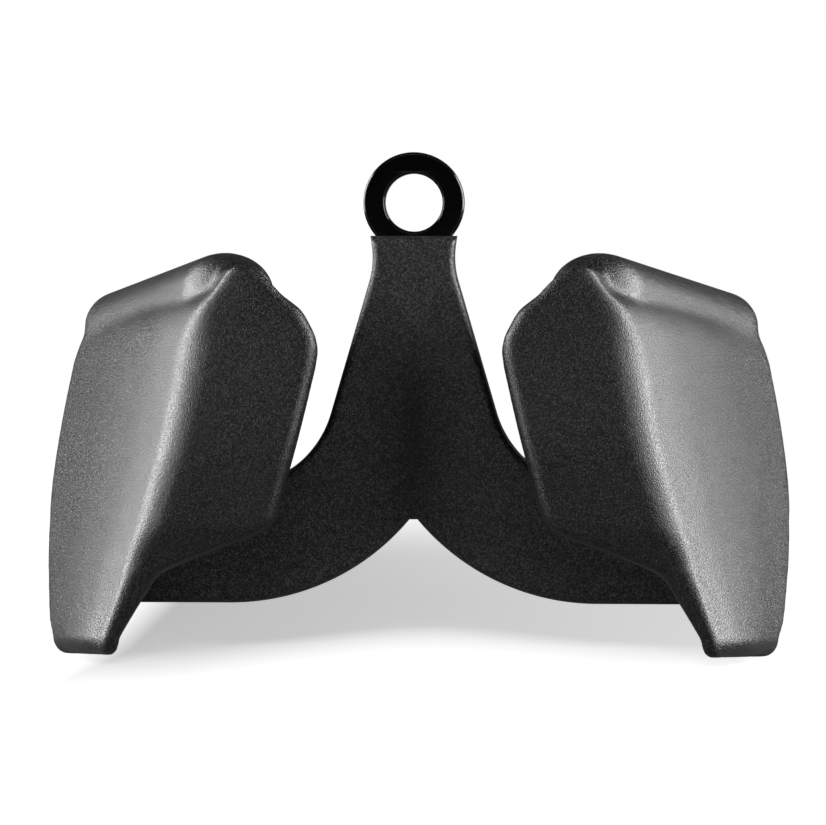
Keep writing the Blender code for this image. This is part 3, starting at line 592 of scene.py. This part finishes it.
def leftOf(mesh):
    copy = mesh.copy()
    copy.transform(Matrix.Scale(-1.0, 4, (1, 0, 0)))
    copy.flip_normals()
    return copy


rightMesh = easedCreases(softened(rightGripMesh()))
rightGrip = addPiece("rightGripSkin", rightMesh, gripSkin)
leftGrip = addPiece("leftGripSkin", leftOf(rightMesh), gripSkin)
for piece, node in ((rightGrip, "right_grip"), (leftGrip, "left_grip")):
    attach(piece, "root")
    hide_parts(node)
print("grips ready", len(rightMesh.polygons))

coverHalf = webHalf(0.0, web["armEnd"])
neckTop = Vector((web["topHalf"], web["top"]))
neckSide = roundedCorner(neckTop, Vector(web["neckCorner"]), coverHalf[0], web["neckRound"],
                         web["neckSteps"])
coverOutline = mirrored([neckTop] + neckSide + coverHalf)
cover = addPiece("webCover", flatPiece("webCover", [coverOutline],
                                       plate["thickness"] / 2 + web["faceWall"],
                                       web["edge"], web["edgeSteps"]), webSkin)
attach(cover, "root")
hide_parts("centre_cover")

neckHalf = web["neckHalf"] - web["wall"]
opening = math.asin(neckHalf / plate["eyeRadius"])
eyeCentre = (0.0, plate["eyeHeight"])
# the ring's outside, anticlockwise from the right of the neck round to its left
ring = arcPoints(eyeCentre, plate["eyeRadius"], -math.pi / 2 + opening,
                 1.5 * math.pi - opening, plate["ringSteps"])
plateHalf = [Vector((neckHalf, web["waist"]))] + webHalf(web["wall"], plate["armEnd"])
outline = list(reversed(plateHalf)) + ring + [Vector((-p.x, p.y)) for p in plateHalf]
hole = arcPoints(eyeCentre, plate["holeRadius"], 0.0, 2 * math.pi, plate["ringSteps"])[:-1]
eye = addPiece("eyePlate", flatPiece("eyePlate", [outline, hole], plate["thickness"] / 2,
                                     plate["edge"], plate["edgeSteps"]), enamel)
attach(eye, "root")
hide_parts("eye_plate")
for item in (cover, eye):
    item.modifiers.new("evenShading", "WEIGHTED_NORMAL").keep_sharp = True
print("web and eye ready")

# The steel inside keeps the solids' meshes
for name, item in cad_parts.items():
    if name.endswith(("palm_plate", "lip_tube", "thumb_rib")):
        item.data.materials.clear()
        item.data.materials.append(millSteel)
    elif name.endswith("_weld"):
        item.data.materials.clear()
        item.data.materials.append(weldSteel)
print("steel ready")


# Floor: white paper that glows white far away, beside the handle and in front of it. Behind
# the handle the glow is weaker, which paints the shadow there, darker to the left. Distances
# from its middle are in metres.
floorLight = {"near": 0.57, "turn": 0.8,  # glow behind the handle, more of it to the right
              "bounce": 0.05,  # glow that the handle sees
              "farStart": 0.35, "farFull": 0.75, "edgeStart": 0.080, "edgeFull": 0.122,
              "frontStart": -0.05, "frontEnd": 0.26, "skew": -0.3,
              "besideRun": 0.10, "besideReach": 0.075,
              "dark": "#ececec", "pale": "#f8f8f8", "fibre": 1.5 * mm, "half": 6.0}


def floorPaper():
    # Smooth white paper that glows. Behind the handle the glow is weaker, so the shadow from
    # the floor's own lamp shows there, and the glow's mask paints that shadow's reach and
    # depth (painted shadow)
    surface, tree = newMaterial("matteWhitePaper")
    ray = addNode(tree, "ShaderNodeLightPath")
    place = addNode(tree, "ShaderNodeTexCoord").outputs["Object"]
    fibre = addNode(tree, "ShaderNodeTexNoise",
                    {"Vector": place, "Scale": 1 / floorLight["fibre"]})
    tone = addNode(tree, "ShaderNodeMix",
                   {0: fibre.outputs["Fac"], 6: hexColour(floorLight["dark"]),
                    7: hexColour(floorLight["pale"])}, data_type="RGBA")
    paper = addNode(tree, "ShaderNodeBsdfDiffuse", {"Color": tone.outputs[2]})
    reach = addNode(tree, "ShaderNodeVectorMath", {0: place}, operation="LENGTH")
    side = addNode(tree, "ShaderNodeSeparateXYZ", {0: place})
    # the weaker glow behind the handle, which paints its shadow, darker to the left
    near = addNode(tree, "ShaderNodeMath",
                   {0: side.outputs["X"], 1: floorLight["turn"], 2: floorLight["near"]},
                   operation="MULTIPLY_ADD")
    far = addNode(tree, "ShaderNodeMapRange",
                  {"Value": reach.outputs["Value"], "From Min": floorLight["farStart"],
                   "From Max": floorLight["farFull"], "To Min": near.outputs[0],
                   "To Max": 1.0},
                  interpolation_type="SMOOTHSTEP")
    aside = addNode(tree, "ShaderNodeMath", {0: side.outputs["X"]}, operation="ABSOLUTE")
    # painted shadow: the weaker glow reaches further forward beside the feet, most on the left
    beside = addNode(tree, "ShaderNodeMapRange",
                     {"Value": aside.outputs[0], "From Max": floorLight["besideRun"],
                      "To Max": floorLight["besideReach"]},
                     interpolation_type="SMOOTHSTEP")
    forward = addNode(tree, "ShaderNodeMath", {0: beside.outputs[0], 1: side.outputs["Y"]})
    turned = addNode(tree, "ShaderNodeMath",
                     {0: side.outputs["X"], 1: floorLight["skew"], 2: forward.outputs[0]},
                     operation="MULTIPLY_ADD")
    front = addNode(tree, "ShaderNodeMapRange",
                    {"Value": turned.outputs[0], "From Min": floorLight["frontStart"],
                     "From Max": floorLight["frontEnd"], "To Min": 1.0, "To Max": 0.0},
                    interpolation_type="SMOOTHSTEP")
    edge = addNode(tree, "ShaderNodeMapRange",
                   {"Value": aside.outputs[0], "From Min": floorLight["edgeStart"],
                    "From Max": floorLight["edgeFull"], "To Min": 0.0, "To Max": 1.0},
                   interpolation_type="SMOOTHSTEP")
    rim = addNode(tree, "ShaderNodeMath", {0: edge.outputs[0], 1: front.outputs[0]},
                  operation="MAXIMUM")
    # strength of the glow: full white, except behind the handle, where it is weaker and paints
    # shade
    glowWithPaintedShade = addNode(tree, "ShaderNodeMath", {0: far.outputs[0], 1: rim.outputs[0]},
                   operation="MAXIMUM")
    # the object sees a dimmer floor than the camera does
    seen = addNode(tree, "ShaderNodeMapRange",
                   {"Value": ray.outputs["Is Camera Ray"], "To Min": floorLight["bounce"],
                    "To Max": glowWithPaintedShade.outputs[0]})
    glow = addNode(tree, "ShaderNodeEmission", {"Color": hexColour("#ffffff"),
                                                "Strength": seen.outputs[0]})
    both = addNode(tree, "ShaderNodeAddShader", {0: paper.outputs[0], 1: glow.outputs[0]})
    addNode(tree, "ShaderNodeOutputMaterial", {"Surface": both.outputs[0]})
    return surface


floorMesh = bpy.data.meshes.new("floor")
work = bmesh.new()
bmesh.ops.create_grid(work, x_segments=2, y_segments=2, size=floorLight["half"])
work.to_mesh(floorMesh)
work.free()
floor = addPiece("floor", floorMesh, floorPaper())
print("floor ready")

# Light: two tall soft boxes at the sides, two narrow ones at the front corners for the
# inner edges of the thumb blocks, one overhead and a weak one in front. Only the floor
# takes the last one, for the shadow behind the handle. Places and sizes are in metres.
lights = {"aim": (0, 0, 0.1), "sideAim": (0, 0, 0.09), "floorAim": (0, 0, 0),
          "side": 21.0, "sidePlace": (0.9, 0.07, 0.3), "sideSize": (0.34, 0.8),
          "corner": 5.0, "cornerPlace": (0.8, -0.6, 0.3), "cornerSize": (0.2, 0.7),
          "top": 0.4, "topPlace": (0, 0.25, 1.2), "topSize": (0.9, 0.6),
          "key": 0.8, "keyPlace": (0, -1.3, 0.75), "keySize": (0.9, 0.5),
          "shadow": 9.0, "shadowPlace": (0, -1.8, 0.75), "shadowSize": (0.7, 0.35)}


def addLight(name, place, target, size, power, floorOnly=False):
    lamp = bpy.data.lights.new(name, "AREA")
    lamp.shape = "RECTANGLE"
    lamp.size, lamp.size_y = size
    lamp.energy = power
    item = bpy.data.objects.new(name, lamp)
    item.location = place
    item.rotation_euler = (Vector(target) - Vector(place)).to_track_quat("-Z", "Y").to_euler()
    bpy.context.scene.collection.objects.link(item)
    lit = bpy.data.collections.new(name + "Receivers")
    lit.objects.link(floor)
    item.light_linking.receiver_collection = lit
    lit.collection_objects[0].light_linking.link_state = "INCLUDE" if floorOnly else "EXCLUDE"


for sign, name in ((-1, "left"), (1, "right")):
    for kind, box in (("Softbox", "side"), ("Cornerbox", "corner")):
        x, y, z = lights[box + "Place"]
        addLight(name + kind, (sign * x, y, z), lights["sideAim"], lights[box + "Size"],
                 lights[box])
for box, aim in (("top", "aim"), ("key", "aim"), ("shadow", "floorAim")):
    addLight(box + "Softbox", lights[box + "Place"], lights[aim], lights[box + "Size"],
             lights[box], floorOnly=(box == "shadow"))

# Room: dim and white, and the camera alone sees its background as pure white. The edges
# of its bright part are heights and depths on a ball of radius one.
room = {"back": 0.12, "front": 0.012, "frontEdge": -0.1, "backEdge": 0.6,
        "overhead": 0.1, "overStart": 0.35, "overFull": 0.75}


def roomLight():
    world = bpy.data.worlds.new("whiteRoom")
    world.use_nodes = True
    tree = world.node_tree
    tree.nodes.clear()
    direction = addNode(tree, "ShaderNodeTexCoord").outputs["Generated"]
    # brightest behind the handle, dark overhead and on the camera's side
    away = addNode(tree, "ShaderNodeSeparateXYZ", {0: direction})
    over = addNode(tree, "ShaderNodeMapRange",
                   {"Value": away.outputs["Z"], "From Min": room["overStart"],
                    "From Max": room["overFull"], "To Min": 1.0,
                    "To Max": room["overhead"]},
                   interpolation_type="SMOOTHSTEP")
    fade = addNode(tree, "ShaderNodeMapRange",
                   {"Value": away.outputs["Y"], "From Min": room["frontEdge"],
                    "From Max": room["backEdge"], "To Min": room["front"],
                    "To Max": room["back"]},
                   interpolation_type="SMOOTHSTEP")
    low = addNode(tree, "ShaderNodeMath", {0: fade.outputs[0], 1: over.outputs[0]},
                  operation="MULTIPLY")
    ray = addNode(tree, "ShaderNodeLightPath")
    level = addNode(tree, "ShaderNodeMath", {0: low.outputs[0],
                                             1: ray.outputs["Is Camera Ray"]},
                    operation="MAXIMUM")
    back = addNode(tree, "ShaderNodeBackground", {"Color": hexColour("#ffffff"),
                                                  "Strength": level.outputs[0]})
    addNode(tree, "ShaderNodeOutputWorld", {"Surface": back.outputs[0]})
    bpy.context.scene.world = world


roomLight()
print("lights ready")

# Camera, from the photograph: 1.4 m away, 2.43 degrees round and 3 degrees up
view = {"azimuth": math.radians(2.43), "elevation": math.radians(3.0), "distance": 1.4,
        "target": home + Vector((-0.38 * mm, 0.0, 84.6 * mm)), "focalPixels": 4023,
        "imageWidth": 826, "sensorWidth": 36.0, "clip": (0.05, 50.0)}
camera = bpy.data.cameras.new("camera")
camera.sensor_fit = "HORIZONTAL"
camera.sensor_width = view["sensorWidth"]
camera.lens = view["focalPixels"] / view["imageWidth"] * camera.sensor_width
camera.clip_start, camera.clip_end = view["clip"]
standpoint = bpy.data.objects.new("camera", camera)
back = Vector((math.sin(view["azimuth"]) * math.cos(view["elevation"]),
               -math.cos(view["azimuth"]) * math.cos(view["elevation"]),
               math.sin(view["elevation"])))
standpoint.location = view["target"] + back * view["distance"]
standpoint.rotation_euler = back.to_track_quat("Z", "Y").to_euler()
bpy.context.scene.collection.objects.link(standpoint)
bpy.context.scene.camera = standpoint
bpy.context.scene.view_settings.view_transform = "Standard"

bpy.context.view_layer.update()
